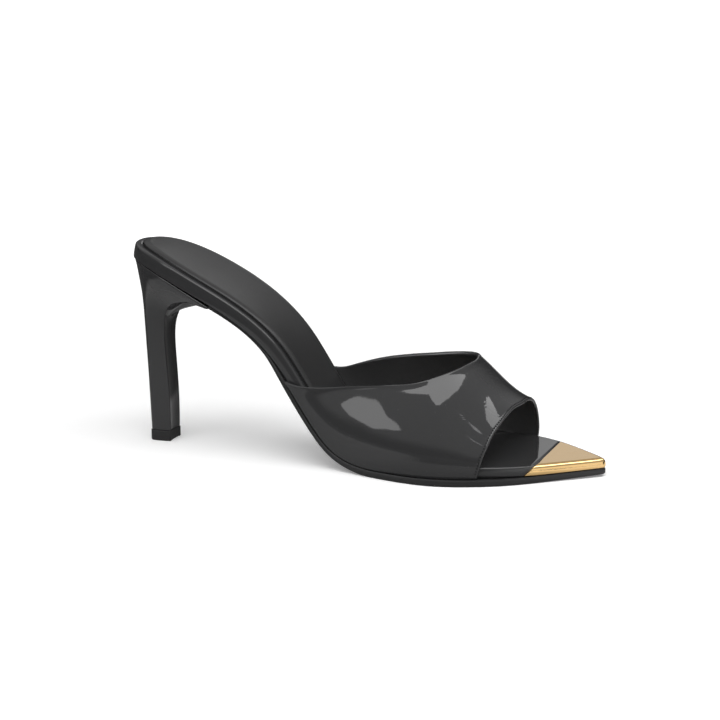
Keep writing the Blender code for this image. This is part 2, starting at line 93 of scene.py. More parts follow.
def splineThrough(knots, values, start=None, end=None):
    x = np.array(knots, float)
    y = np.array(values, float)
    step = np.diff(x)
    slope = np.diff(y) / step
    count = len(x)
    matrix = np.eye(count)
    right = np.zeros(count)
    for i in range(1, count - 1):
        matrix[i, i - 1 : i + 2] = step[i - 1], 2 * (step[i - 1] + step[i]), step[i]
        right[i] = 6 * (slope[i] - slope[i - 1])
    if start is not None:
        matrix[0, :2] = 2 * step[0], step[0]
        right[0] = 6 * (slope[0] - start)
    if end is not None:
        matrix[-1, -2:] = step[-1], 2 * step[-1]
        right[-1] = 6 * (end - slope[-1])
    bend = np.linalg.solve(matrix, right)

    def value(at):
        at = np.clip(np.asarray(at, float), x[0], x[-1])
        i = np.clip(np.searchsorted(x, at) - 1, 0, count - 2)
        past = at - x[i]
        left = x[i + 1] - at
        cubic = (bend[i] * left**3 + bend[i + 1] * past**3) / (6 * step[i])
        straight = (y[i] / step[i] - bend[i] * step[i] / 6) * left
        return cubic + straight + (y[i + 1] / step[i] - bend[i + 1] * step[i] / 6) * past

    return value


def tableCurve(rows, index, start=None, end=None):
    return splineThrough([row[0] for row in rows], [row[index] for row in rows], start, end)


def ramp(value, low, high):  # soft step from 0 at low to 1 at high
    t = np.clip((np.asarray(value, float) - low) / (high - low), 0, 1)
    return t * t * (3 - 2 * t)


archShare = tableCurve(archRows, 1, end=0)
seatShare = tableCurve(planRows, 1, start=0)
ballShare = tableCurve(planRows, 2, start=0)
swingShare = tableCurve(swingRows, 1)
seatEnd = planRows[0][0]


def underside(x):
    u = np.asarray(x, float) / last["length"]
    spring = np.clip((u - last["treadEnd"]) / (1 - last["treadEnd"]), 0, 1) ** 2
    return last["ballHeight"] + last["heelRise"] * archShare(u) + last["toeSpring"] * spring


def bandThickness(x):
    share = np.asarray(x, float) / last["length"]
    return last["bandAtSeat"] + (last["bandAtTip"] - last["bandAtSeat"]) * share


def halfWidth(x):
    x = np.asarray(x, float)
    u = x / last["length"]
    square = last["seatSquareness"]
    seat = (1 - np.clip(1 - u / seatEnd, 0, 1) ** square) ** (1 / square)
    toTip = last["length"] - x
    tip = np.sqrt(np.clip(toTip / (toTip + last["tipRounding"]), 0, 1))
    along = np.maximum(u, seatEnd)
    width = last["seatWidth"] * seatShare(along) + last["ballWidth"] * ballShare(along)
    return 0.5 * width * seat * tip


def middle(x):
    return last["ballWidth"] * swingShare(np.asarray(x, float) / last["length"])


def onBand(x, y, height):  # a point raised square to the band's underside
    x = np.asarray(x, float)
    slope = (underside(x + 0.05) - underside(x - 0.05)) / 0.1
    length = np.sqrt(1 + slope**2)
    return np.stack([x - height * slope / length, y + 0 * x, underside(x) + height / length], -1)


def sideLine(places, side, inset):  # side is -1 outer, 1 inner
    x = np.array(places, float)
    y = middle(x) + side * halfWidth(x)
    run = np.gradient(x)
    fall = np.gradient(y)
    if x[0] == 0:
        run[0], fall[0] = 0, side
    if x[-1] == last["length"]:
        run[-1], fall[-1] = 0, -side
    length = np.hypot(run, fall)
    x = x + side * inset * fall / length
    y = y - side * inset * run / length
    clear = side * (y - middle(x))
    crossed = np.flatnonzero((clear < 0) & (np.array(places) > 0.9 * last["length"]))
    if len(crossed):  # at the tip an inset line ends where it meets the one from the other side
        k = crossed[0]
        share = clear[k - 1] / (clear[k - 1] - clear[k])
        x[k:] = x[k - 1] + share * (x[k] - x[k - 1])
        y[k:] = middle(x[k])
    return x, y


def bothSides(places, inset, heightAt):  # the outer and the inner line at an inset, raised over the band
    lines = [sideLine(places, side, inset) for side in (-1, 1)]
    return [onBand(x, y, heightAt(x)) for x, y in lines]


def evenStations(start, end, step, easeStart=0.0, easeEnd=0.0):  # closer together at an eased end
    count = int(round((end - start) / step)) + 1
    x = np.linspace(start, end, count)
    easing = np.linspace(0, 1, 15) ** 2
    if easeStart:
        x = np.concatenate([start + easeStart * easing, x[x > start + easeStart + 0.5 * step]])
    if easeEnd:
        x = np.concatenate([x[x < end - easeEnd - 0.5 * step], end - easeEnd * easing[::-1]])
    return x


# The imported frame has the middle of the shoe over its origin, so its top piece tells the shift
tipSizes = {"back": 6.9, "depth": 10.9, "widthBack": 12.4, "widthFront": 12.0, "margin": 0.35}
topPieceLow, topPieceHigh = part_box("top_piece")
frameShift = np.array([
    topPieceLow.x * 1000 - (tipSizes["back"] - tipSizes["margin"]),
    (topPieceLow.y + topPieceHigh.y) * 500,
    0.0,
])
print("shift of the frame in mm", np.round(frameShift, 3))


def volumeOf(points, faces):  # negative where the faces look inwards
    total = 0.0
    for size in {len(face) for face in faces}:
        corners = np.array([face for face in faces if len(face) == size])
        for k in range(1, size - 1):
            a, b, c = points[corners[:, 0]], points[corners[:, k]], points[corners[:, k + 1]]
            total += np.sum(a * np.cross(b, c))
    return total


def makePiece(name, points, faces, materials, sharpAngle=40.0, closed=True, slots=None):
    points = (np.asarray(points, float) + frameShift) * 0.001
    if closed and volumeOf(points - points.mean(0), faces) < 0:
        faces = [list(face)[::-1] for face in faces]
    mesh = bpy.data.meshes.new(name)
    mesh.from_pydata([tuple(p) for p in points.tolist()], [], [list(map(int, f)) for f in faces])
    for material in materials:
        mesh.materials.append(material)
    if slots is not None:
        mesh.polygons.foreach_set("material_index", slots)
    mesh.validate()
    mesh.update()
    mesh.shade_smooth()
    mesh.set_sharp_from_angle(angle=math.radians(sharpAngle))
    piece = bpy.data.objects.new(name, mesh)
    scene.collection.objects.link(piece)
    return piece


def bakeModifiers(piece):
    bpy.context.view_layer.update()
    graph = bpy.context.evaluated_depsgraph_get()
    mesh = bpy.data.meshes.new_from_object(piece.evaluated_get(graph))
    piece.modifiers.clear()
    piece.data = mesh
    return piece


def wallFaces(levels, count):  # the faces between rings of as many points each
    faces = []
    for level in range(levels - 1):
        low, high = level * count, (level + 1) * count
        faces += [[low + i, low + (i + 1) % count, high + (i + 1) % count, high + i] for i in range(count)]
    return faces


def stripFaces(base, count, steps, upward, skipped=0):  # closes a ring by strips from side to side
    faces = []
    for i in range(steps):
        quad = [base + i, base + i + 1]
        quad += [base + (count - i - k - skipped) % count for k in (1, 0)]
        face = list(dict.fromkeys(quad))
        faces.append(face if upward else face[::-1])
    return faces


# Rows of small repeats, such as stitches, set along a line by one node group
def makeRowNodes():
    group = bpy.data.node_groups.new("setAlongLine", "GeometryNodeTree")
    sockets = {}
    for label, kind in (("Geometry", "NodeSocketGeometry"), ("Pitch", "NodeSocketFloat"),
                        ("Size", "NodeSocketVector"), ("Unevenness", "NodeSocketFloat"),
                        ("Seed", "NodeSocketInt"), ("Material", "NodeSocketMaterial")):
        sockets[label] = group.interface.new_socket(label, in_out="INPUT", socket_type=kind).identifier
    group.interface.new_socket("Geometry", in_out="OUTPUT", socket_type="NodeSocketGeometry")
    entry = group.nodes.new("NodeGroupInput")
    leave = group.nodes.new("NodeGroupOutput")
    toCurve = group.nodes.new("GeometryNodeMeshToCurve")
    spaced = group.nodes.new("GeometryNodeResampleCurve")
    spaced.mode = "LENGTH"
    bead = group.nodes.new("GeometryNodeMeshUVSphere")
    bead.inputs["Segments"].default_value = 8
    bead.inputs["Rings"].default_value = 5
    bead.inputs["Radius"].default_value = 0.5
    tangent = group.nodes.new("GeometryNodeInputTangent")
    turned = group.nodes.new("FunctionNodeAlignRotationToVector")
    turned.axis = "Z"
    uneven = group.nodes.new("FunctionNodeRandomValue")
    uneven.data_type = "FLOAT"
    low = mathNode(group, "SUBTRACT", 1.0, entry.outputs["Unevenness"])
    high = mathNode(group, "ADD", 1.0, entry.outputs["Unevenness"])
    scaled = group.nodes.new("ShaderNodeVectorMath")
    scaled.operation = "SCALE"
    placed = group.nodes.new("GeometryNodeInstanceOnPoints")
    real = group.nodes.new("GeometryNodeRealizeInstances")
    dressed = group.nodes.new("GeometryNodeSetMaterial")
    numberIn = [s for s in uneven.inputs if s.type == "VALUE"]
    numberOut = [s for s in uneven.outputs if s.type == "VALUE"][0]
    for source, goal in (
        (entry.outputs["Geometry"], toCurve.inputs["Mesh"]),
        (toCurve.outputs["Curve"], spaced.inputs["Curve"]),
        (entry.outputs["Pitch"], spaced.inputs["Length"]),
        (spaced.outputs["Curve"], placed.inputs["Points"]),
        (bead.outputs["Mesh"], placed.inputs["Instance"]),
        (tangent.outputs["Tangent"], turned.inputs["Vector"]),
        (turned.outputs["Rotation"], placed.inputs["Rotation"]),
        (low, numberIn[0]),
        (high, numberIn[1]),
        (entry.outputs["Seed"], uneven.inputs["Seed"]),
        (entry.outputs["Size"], scaled.inputs[0]),
        (numberOut, scaled.inputs["Scale"]),
        (scaled.outputs["Vector"], placed.inputs["Scale"]),
        (placed.outputs["Instances"], real.inputs["Geometry"]),
        (real.outputs["Geometry"], dressed.inputs["Geometry"]),
        (entry.outputs["Material"], dressed.inputs["Material"]),
        (dressed.outputs["Geometry"], leave.inputs["Geometry"]),
    ):
        group.links.new(source, goal)
    return group, sockets


def makeRow(name, line, form, material):  # the form's size is across, deep and along, in mm
    points = (line + frameShift) * 0.001
    mesh = bpy.data.meshes.new(name)
    mesh.from_pydata([tuple(p) for p in points.tolist()], [(i, i + 1) for i in range(len(points) - 1)], [])
    row = bpy.data.objects.new(name, mesh)
    scene.collection.objects.link(row)
    modifier = row.modifiers.new("row", "NODES")
    modifier.node_group = rowNodes
    for label, value in (("Pitch", form["pitch"] * 0.001), ("Unevenness", form["unevenness"]),
                         ("Seed", form["seed"]), ("Material", material)):
        modifier[rowSockets[label]] = value
    modifier[rowSockets["Size"]] = [s * 0.001 for s in form["size"]]
    bakeModifiers(row)
    row.data.materials.clear()
    row.data.materials.append(material)
    row.data.shade_smooth()
    return row


# Shared shader groups: they put out only heights, masks and colours

def newGroup(name, inputs, outputs):
    group = bpy.data.node_groups.new(name, "ShaderNodeTree")
    for label, kind, value in inputs:
        socket = group.interface.new_socket(label, in_out="INPUT", socket_type=kind)
        if value is not None:
            socket.default_value = value
    for label, kind in outputs:
        group.interface.new_socket(label, in_out="OUTPUT", socket_type=kind)
    entry = group.nodes.new("NodeGroupInput")
    leave = group.nodes.new("NodeGroupOutput")
    return group, entry, leave


def mathNode(tree, operation, first, second=None, clamp=False):
    node = tree.nodes.new("ShaderNodeMath")
    node.operation = operation
    node.use_clamp = clamp
    for index, value in enumerate((first, second)):
        if value is None:
            continue
        if isinstance(value, (int, float)):
            node.inputs[index].default_value = value
        else:
            tree.links.new(value, node.inputs[index])
    return node.outputs[0]


def noiseNode(tree, vector, scale, detail=2.0, roughness=0.5):
    node = tree.nodes.new("ShaderNodeTexNoise")
    node.inputs["Detail"].default_value = detail
    node.inputs["Roughness"].default_value = roughness
    tree.links.new(vector, node.inputs["Vector"])
    node.inputs["Scale"].default_value = scale
    return node.outputs["Fac"]


patentLook = {
    "colour": (0.034, 0.034, 0.035),
    "dusty": (0.055, 0.055, 0.056),
    "gloss": 0.05,  # the roughness, and that of a speck of dust
    "rough": 0.15,
    "peel": 0.008,
    "relief": 0.35,
    "waveScale": 55.0,
    "peelScale": 900.0,
    "speckScale": 420.0,
    "speckFrom": 0.66,  # the noise above which a speck begins, and how sharply
    "speckGain": 8.0,
}


def makePatentSkin():  # the slow waves and fine orange peel of a lacquered leather
    group, entry, leave = newGroup(
        "patentSkin",
        [("Vector", "NodeSocketVector", None), ("Wave", "NodeSocketFloat", 0.5),
         ("Peel", "NodeSocketFloat", 0.1)],
        [("Height", "NodeSocketFloat"), ("Dust", "NodeSocketFloat")],
    )
    slow = noiseNode(group, entry.outputs["Vector"], patentLook["waveScale"], 1.0)
    peel = noiseNode(group, entry.outputs["Vector"], patentLook["peelScale"], 1.0)
    speck = noiseNode(group, entry.outputs["Vector"], patentLook["speckScale"], 3.0, 0.7)
    waved = mathNode(group, "MULTIPLY", slow, entry.outputs["Wave"])
    peeled = mathNode(group, "MULTIPLY", peel, entry.outputs["Peel"])
    height = mathNode(group, "ADD", waved, peeled)
    dust = mathNode(group, "SUBTRACT", speck, patentLook["speckFrom"])
    dust = mathNode(group, "MULTIPLY", dust, patentLook["speckGain"], clamp=True)
    group.links.new(height, leave.inputs["Height"])
    group.links.new(dust, leave.inputs["Dust"])
    return group


def makeGrain():  # the pebble and small mottle of a matt or satin leather
    group, entry, leave = newGroup(
        "leatherGrain",
        [("Vector", "NodeSocketVector", None), ("Pebble", "NodeSocketFloat", 1400.0)],
        [("Height", "NodeSocketFloat"), ("Mottle", "NodeSocketFloat")],
    )
    cells = group.nodes.new("ShaderNodeTexVoronoi")
    cells.feature = "SMOOTH_F1"
    group.links.new(entry.outputs["Vector"], cells.inputs["Vector"])
    group.links.new(entry.outputs["Pebble"], cells.inputs["Scale"])
    soft = noiseNode(group, entry.outputs["Vector"], 300.0, 3.0)
    mottle = noiseNode(group, entry.outputs["Vector"], 70.0, 3.0)
    half = mathNode(group, "MULTIPLY", soft, 0.5)
    group.links.new(mathNode(group, "ADD", cells.outputs["Distance"], half), leave.inputs["Height"])
    group.links.new(mottle, leave.inputs["Mottle"])
    return group


patentSkin = makePatentSkin()
leatherGrain = makeGrain()
rowNodes, rowSockets = makeRowNodes()


def startMaterial(name, colour, roughness, metallic=0.0):
    material = bpy.data.materials.new(name)
    material.use_nodes = True
    tree = material.node_tree
    shader = tree.nodes["Principled BSDF"]
    shader.inputs["Base Color"].default_value = (*colour, 1)
    shader.inputs["Roughness"].default_value = roughness
    shader.inputs["Metallic"].default_value = metallic
    place = tree.nodes.new("ShaderNodeTexCoord").outputs["Object"]
    return material, tree, shader, place


def bumpInto(tree, shader, height, strength, distance):
    bump = tree.nodes.new("ShaderNodeBump")
    bump.inputs["Strength"].default_value = strength
    bump.inputs["Distance"].default_value = distance
    tree.links.new(height, bump.inputs["Height"])
    tree.links.new(bump.outputs["Normal"], shader.inputs["Normal"])


def mixBetween(tree, factor, low, high, target=None):
    mix = tree.nodes.new("ShaderNodeMix")
    mix.data_type = "RGBA"
    for label, value in (("A", low), ("B", high)):
        if isinstance(value, tuple):
            mix.inputs[label].default_value = (*value, 1)
        else:
            tree.links.new(value, mix.inputs[label])
    tree.links.new(factor, mix.inputs["Factor"])
    if target is not None:
        tree.links.new(mix.outputs["Result"], target)
    return mix.outputs["Result"]


def rangeNode(tree, value, low, high, start=0.0, end=1.0, soft=False):
    node = tree.nodes.new("ShaderNodeMapRange")
    node.interpolation_type = "SMOOTHSTEP" if soft else "LINEAR"
    for label, number in (("From Min", start), ("From Max", end), ("To Min", low), ("To Max", high)):
        node.inputs[label].default_value = number
    tree.links.new(value, node.inputs["Value"])
    return node.outputs["Result"]


def vectorNode(tree, operation, first, second=None):
    node = tree.nodes.new("ShaderNodeVectorMath")
    node.operation = operation
    tree.links.new(first, node.inputs[0])
    if second is not None:
        node.inputs[1].default_value = second
    return node.outputs


def makePatent(name, wave):
    look = patentLook
    material, tree, shader, place = startMaterial(name, look["colour"], look["gloss"])
    skin = tree.nodes.new("ShaderNodeGroup")
    skin.node_tree = patentSkin
    skin.inputs["Wave"].default_value = wave
    skin.inputs["Peel"].default_value = look["peel"]
    tree.links.new(place, skin.inputs["Vector"])
    dust = skin.outputs["Dust"]
    mixBetween(tree, dust, look["colour"], look["dusty"], shader.inputs["Base Color"])
    tree.links.new(rangeNode(tree, dust, look["gloss"], look["rough"]), shader.inputs["Roughness"])
    bumpInto(tree, shader, skin.outputs["Height"], look["relief"], 0.001)
    return material


def makeLeather(name, colour, lighter, rough, pebble, depth, shine):
    material, tree, shader, place = startMaterial(name, colour, rough)
    shader.inputs["Specular IOR Level"].default_value = shine
    grain = tree.nodes.new("ShaderNodeGroup")
    grain.node_tree = leatherGrain
    grain.inputs["Pebble"].default_value = pebble
    tree.links.new(place, grain.inputs["Vector"])
    mottle = grain.outputs["Mottle"]
    mixBetween(tree, mottle, colour, lighter, shader.inputs["Base Color"])
    tree.links.new(rangeNode(tree, mottle, rough - 0.05, rough + 0.05), shader.inputs["Roughness"])
    bumpInto(tree, shader, grain.outputs["Height"], depth, 0.0002)
    return material


def makeGold():
    look = {"colour": (0.83, 0.565, 0.26), "deeper": (0.80, 0.53, 0.235), "rough": 0.05}
    material, tree, shader, place = startMaterial("polishedGold", look["colour"], look["rough"], 1.0)
    cloud = noiseNode(tree, place, 160.0, 3.0)
    mixBetween(tree, cloud, look["colour"], look["deeper"], shader.inputs["Base Color"])
    haze = noiseNode(tree, place, 700.0, 4.0)
    hazy = rangeNode(tree, haze, look["rough"] - 0.02, look["rough"] + 0.07)
    tree.links.new(hazy, shader.inputs["Roughness"])
    bumpInto(tree, shader, cloud, 0.05, 0.001)
    return material


print("making the materials")
leatherRows = {  # darker and lighter colour, roughness, pebbles to a metre, depth of the grain, shine
    "sockLeather": ((0.022, 0.022, 0.0225), (0.028, 0.028, 0.0285), 0.32, 2600.0, 0.25, 0.4),
    "liningLeather": ((0.060, 0.060, 0.061), (0.075, 0.075, 0.076), 0.40, 2000.0, 0.35, 0.5),
    "soleLeather": ((0.012, 0.012, 0.0125), (0.017, 0.017, 0.0175), 0.42, 1500.0, 0.30, 0.5),
    "topPieceRubber": ((0.022, 0.022, 0.0225), (0.030, 0.030, 0.0305), 0.55, 1800.0, 0.40, 0.3),
    "threadBlack": ((0.004, 0.004, 0.004), (0.008, 0.008, 0.008), 0.70, 3000.0, 0.40, 0.2),
}
vampPatent = makePatent("vampPatent", 0.35)
bandPatent = makePatent("bandPatent", 0.10)
heelPatent = makePatent("heelPatent", 0.20)
leathers = {name: makeLeather(name, *row) for name, row in leatherRows.items()}
goldMetal = makeGold()

# The mesh of every long piece: step between its stations, and the stretch at an end with closer ones
stationStep = 1.4
easedLength = 12

# The band: rings round it from its bottom edge up to the groove in which the sock lies
band = {
    "rounding": 1.0,
    "bottomRounding": 0.5,
    "sideBulge": 0.12,
    "underReach": 3.0,
    "rim": 3.3,
    "grooveDepth": 1.3,
    "grooveReach": 4.0,
    "grooveFull": 0.70,  # shares of the length between which the groove runs out
    "grooveEnd": 0.78,
    "capStep": 0.85,
}
cap = {
    "back": 0.8645,
    "slope": 0.95,
    "proud": 0.3,
    "wall": 0.8,
    "edge": 0.2,
    "rounding": 2.3,
    "steps": 60,
    "evenSteps": 47,  # as many of the steps stay even, and closer ones at the tip take up the rest
    "tipSteps": 27,
    "tipEasing": 1.8,
    "across": 16,
}


def arcPoints(fromAngle, toAngle, steps):
    return np.radians(np.linspace(fromAngle, toAngle, steps + 1))


def bandProfile(rounding):  # rows of inset, share of the thickness, extra height
    rows = [(band["underReach"], 0.0, 0.0)]
    r = band["bottomRounding"]
    for a in arcPoints(0, 90, 4):
        rows.append((r * (1 - math.sin(a)), 0.0, r * (1 - math.cos(a))))
    for k in (0.25, 0.5, 0.75):
        rows.append((-band["sideBulge"] * math.sin(math.pi * k), k, (1 - k) * r - k * rounding))
    r = rounding
    for a in arcPoints(0, 90, 9):
        rows.append((r * (1 - math.cos(a)), 1.0, r * (math.sin(a) - 1)))
    return rows


def capEdgeAhead(points):  # how far points lie ahead of the cap's leaning back edge
    base = float(underside(cap["back"] * last["length"]))
    return points[..., 0] - cap["back"] * last["length"] - cap["slope"] * (points[..., 2] - base)


def makeBand():
    places = evenStations(0, last["length"], stationStep, easedLength, easedLength)
    edge, rim, low = band["rounding"], band["rim"], -band["grooveDepth"]
    grooveRows = [(rim - 0.5, 0.0), (rim - 0.15, -0.12), (rim, -0.5), (rim + 0.05, low)]
    grooveRows.append((rim + band["grooveReach"], low))
    rows = bandProfile(edge) + [(inset, 1.0, extra) for inset, extra in grooveRows]
    deep = ramp(places, band["grooveEnd"] * last["length"], band["grooveFull"] * last["length"])
    rings = []
    for shrink in (0.0, band["capStep"]):
        made = []
        for inset, share, extra in rows:
            reach = min(inset, edge) + max(inset - edge, 0) * (0.1 + 0.9 * deep)
            down = extra * deep if inset > edge and share == 1.0 else extra
            outer, inner = bothSides(places, reach + shrink,
                                     lambda x: share * (bandThickness(x) - shrink) + down)
            made.append(np.concatenate([outer, inner[1:-1][::-1]]))
        rings.append(np.array(made))
    full, stepped = rings
    mask = ramp(capEdgeAhead(full), -0.1, 0.5)[..., None]
    points = full * (1 - mask) + stepped * mask
    levels, count = points.shape[:2]
    faces = wallFaces(levels, count) + stripFaces(0, count, len(places) - 1, False)
    faces += stripFaces((levels - 1) * count, count, len(places) - 1, True)
    return makePiece("footbedBand", points.reshape(-1, 3), faces, [bandPatent])


print("making the band")
footbedBand = makeBand()

# The sock: a padded strip with soft shoulders, lying in the band's groove
sock = {
    "end": 0.70,
    "edge": 3.55,
    "thickness": 1.5,
    "shoulder": 3.2,
    "shoulderShift": 0.19,  # brings the shoulder's first row back over the edge
    "dish": 0.5,  # how far the middle sinks where the sock is at least dishWidth wide
    "dishWidth": 30.0,
    "across": 28,
}
teeth = {
    "pitch": 1.0,
    "size": (0.8, 0.7, 0.45),
    "unevenness": 0.15,
    "seed": 4,
    "inset": 3.7,
    "height": 0.55,
    "end": 0.5,
}


def makeSock():
    places = evenStations(0.0, sock["end"] * last["length"], stationStep, easedLength)
    edge, lift = sock["edge"], last["clearance"]
    rows = [(edge + 0.5, -0.9), (edge, -0.7), (edge - 0.02, lift)]
    for a in arcPoints(20, 90, 7):
        further = sock["shoulder"] * (1 - math.cos(a)) - sock["shoulderShift"]
        rows.append((edge + further, lift + sock["thickness"] * math.sin(a)))
    rings = []
    for inset, height in rows:
        outer, inner = bothSides(places, inset, lambda x: bandThickness(x) + height)
        rings.append(np.concatenate([outer, inner[1:][::-1]]))
    count = len(rings[0])
    points = list(np.concatenate(rings))
    faces = wallFaces(len(rings), count) + stripFaces(0, count, len(places) - 1, False)
    # the top is a dished sheet of strips from side to side
    base = (len(rings) - 1) * count
    grid = []
    for i, place in enumerate(places):
        other = (count - i) % count
        a, b = rings[-1][i], rings[-1][other]
        if i == other:
            grid.append([base + i])
            continue
        dish = sock["dish"] * min(1.0, np.linalg.norm(b - a) / sock["dishWidth"])
        row = [base + i]
        for g in np.linspace(0, 1, sock["across"] + 1)[1:-1]:
            row.append(len(points))
            sunk = onBand(place, 0.0, -4 * dish * g * (1 - g)) - onBand(place, 0.0, 0.0)
            points.append(a + (b - a) * g + sunk)
        grid.append(row + [base + other])
    for lower, upper in zip(grid[:-1], grid[1:]):
        if len(lower) == 1:
            lower = lower * len(upper)
        for k in range(len(upper) - 1):
            faces.append(list(dict.fromkeys([lower[k], upper[k], upper[k + 1], lower[k + 1]])))
    return makePiece("sockPad", np.array(points), faces, [leathers["sockLeather"]], sharpAngle=60)


def makeSockTeeth():  # the cut edge of the sock's lining, seen as fine teeth in the groove
    places = evenStations(0.0, teeth["end"] * last["length"], 0.5 * stationStep, easedLength)
    outer, inner = bothSides(places, teeth["inset"], lambda x: bandThickness(x) + teeth["height"])
    line = np.concatenate([outer[::-1], inner[1:]])
    return makeRow("sockTeeth", line, teeth, leathers["threadBlack"])


print("making the sock")
sockPad = makeSock()
sockTeeth = makeSockTeeth()

# The vamp: one wall lasted round the band's edge, with rolled edges
vamp = {
    "height": 51.6,
    "wall": 1.6,
    "fullness": 0.07,
    "bulge": 1.2,
    "bulgeHeight": 9.0,
    "lean": 4.6,
    "leanLow": 9.0,
    "leanHigh": 35.0,
    "leanFade": (0.60, 0.73),
    "along": 84,
    "round": 300,
    "edgeSteps": 8,
    "edgeZone": 3.2,  # the strip along both edges in which the rows of the mesh lie closer together
    "foldWidth": 0.9,  # the turned edge of the toe opening and how much it stands out
    "foldHeight": 0.1,
    "stitchInset": 1.4,
    "stitchGroove": 0.06,
    "grooveWidth": 0.34,
    "collarBead": 0.4,
    "beadWidth": 2.0,
    "collarRows": 12,  # rows of the mesh in the strip along the collar and along the toe opening
    "toeRows": 25,
    "creaseFade": (1.0, 4.0),  # no creases nearer to the collar than the first, all beyond the second
}
stitches = {"pitch": 1.35, "size": (0.7, 0.44, 0.6), "unevenness": 0.06, "seed": 7, "from": 0.02}
creaseForm = {"end": 0.08, "fade": 0.7, "trough": 0.5, "ridge": 0.6, "ridgeHeight": 0.45}
creases = [  # along from collar to toe, turn from outer to inner side; then depth and width in mm
    (((0.04, 0.405), (0.19, 0.395), (0.33, 0.375), (0.46, 0.350), (0.61, 0.325)), 0.035, 0.7),
    (((0.70, 0.306), (0.81, 0.300), (0.91, 0.300)), 0.03, 0.7),
    (((0.57, 0.195), (0.64, 0.200), (0.71, 0.220)), 0.02, 0.8),
    (((0.40, 0.193), (0.50, 0.198)), 0.015, 0.8),
    (((0.06, 0.610), (0.25, 0.625), (0.45, 0.650)), 0.035, 0.8),
    (((0.62, 0.690), (0.80, 0.695)), 0.03, 0.8),
]
ridgeRows = [  # share, height of the ridge as a share of the vamp's height
    (0.38, 2.310), (0.50, 1.884), (0.60, 1.460), (0.68, 1.148), (0.73, 0.978), (0.76, 0.846),
    (0.80, 0.690), (0.85, 0.590),
]
edgeRows = [  # quarter turn, collar outer and inner, toe opening outer and inner
    (0.00, 0.368, 0.372, 0.783, 0.824), (0.10, 0.416, 0.419, 0.789, 0.827),
    (0.20, 0.480, 0.467, 0.795, 0.829), (0.275, 0.549, 0.517, 0.800, 0.8295),
    (0.35, 0.607, 0.572, 0.804, 0.830), (0.50, 0.671, 0.651, 0.813, 0.831),
    (0.70, 0.714, 0.711, 0.822, 0.833), (0.85, 0.728, 0.727, 0.828, 0.834),
    (1.00, 0.733, 0.733, 0.834, 0.834),
]
ridgeShare = tableCurve(ridgeRows, 1)
collarOuter, collarInner, toeOuter, toeInner = [tableCurve(edgeRows, k, end=0) for k in (1, 2, 3, 4)]


def vampPoint(along, turn):  # along 0 collar to 1 toe, turn 0 outer feather edge to 1 inner one
    quarter = 1 - np.abs(2 * turn - 1)
    inner = turn > 0.5
    back = np.where(inner, collarInner(quarter), collarOuter(quarter))
    front = np.where(inner, toeInner(quarter), toeOuter(quarter))
    x = last["length"] * (back + (front - back) * along)
    angle = np.pi * turn
    across, up = np.cos(angle), np.sin(angle)
    floor = underside(x)
    tall = vamp["height"] * ridgeShare(x / last["length"]) - floor
    z = tall * up * (1 + vamp["fullness"] * across**2)
    taper = halfWidth(x + 0.5) - halfWidth(x - 0.5)
    grow = (vamp["wall"] + last["clearance"]) * np.sqrt(1 + taper**2)
    y = (halfWidth(x) + grow) * across * (1 + vamp["fullness"] * up**2)
    swell = vamp["bulge"] * (z / vamp["bulgeHeight"]) * np.exp(1 - z / vamp["bulgeHeight"])
    rise = np.clip((z - vamp["leanLow"]) / (vamp["leanHigh"] - vamp["leanLow"]), 0, None)
    lean = vamp["lean"] * rise**2 * ramp(x / last["length"], vamp["leanFade"][1], vamp["leanFade"][0])
    y = y + (swell - lean) * np.clip(4 * across, -1, 1)
    return np.stack([x, middle(x) - y, floor + z], -1)


def vampNormal(along, turn):
    small = 1e-3
    downLength = vampPoint(along + small, turn) - vampPoint(along - small, turn)
    inTurn = np.clip(turn, small, 1 - small)
    roundIt = vampPoint(along, inTurn + small) - vampPoint(along, inTurn - small)
    normal = np.cross(downLength, roundIt)
    return normal / np.linalg.norm(normal, axis=-1, keepdims=True)


def creaseRelief(points):  # soft troughs with a low ridge on each side, over the outer face
    relief = np.zeros(points.shape[:-1])
    for route, depth, width in creases:
        path = [vampPoint(np.array(a), np.array(t)) for a, t in route]
        nearest = np.full(relief.shape, 1e9)
        fade = np.ones(relief.shape)
        for k, (a, b) in enumerate(zip(path[:-1], path[1:])):
            share = np.clip((points - a) @ (b - a) / ((b - a) @ (b - a)), 0, 1)
            gap = np.linalg.norm(points - (a + share[..., None] * (b - a)), axis=-1)
            closer = gap < nearest
            nearest = np.where(closer, gap, nearest)
            passed = creaseForm["end"] + (1 - 2 * creaseForm["end"]) * (k + share) / (len(path) - 1)
            fade = np.where(closer, np.sin(np.pi * passed) ** creaseForm["fade"], fade)
        trough = np.exp(-((nearest / (creaseForm["trough"] * width)) ** 2))
        ridge = np.exp(-(((nearest - width) / (creaseForm["ridge"] * width)) ** 2))
        relief += depth * fade * (creaseForm["ridgeHeight"] * ridge - trough)
    return relief


def edgeRelief(along, lengths):  # the turned toe edge with its stitch groove, and the collar's soft bead
    toToe = (1 - along) * lengths
    toCollar = along * lengths
    fold = vamp["foldHeight"] * ramp(toToe, vamp["foldWidth"] + 0.3, vamp["foldWidth"] - 0.3)
    groove = vamp["stitchGroove"] * np.exp(-(((toToe - vamp["stitchInset"]) / vamp["grooveWidth"]) ** 2))
    bead = vamp["collarBead"] * np.exp(-((toCollar / vamp["beadWidth"]) ** 2))
    return fold - groove + bead


def vampLengths(turns):  # straight from the collar to the toe opening
    front, back = vampPoint(np.ones_like(turns), turns), vampPoint(np.zeros_like(turns), turns)
    return np.linalg.norm(front - back, axis=-1)


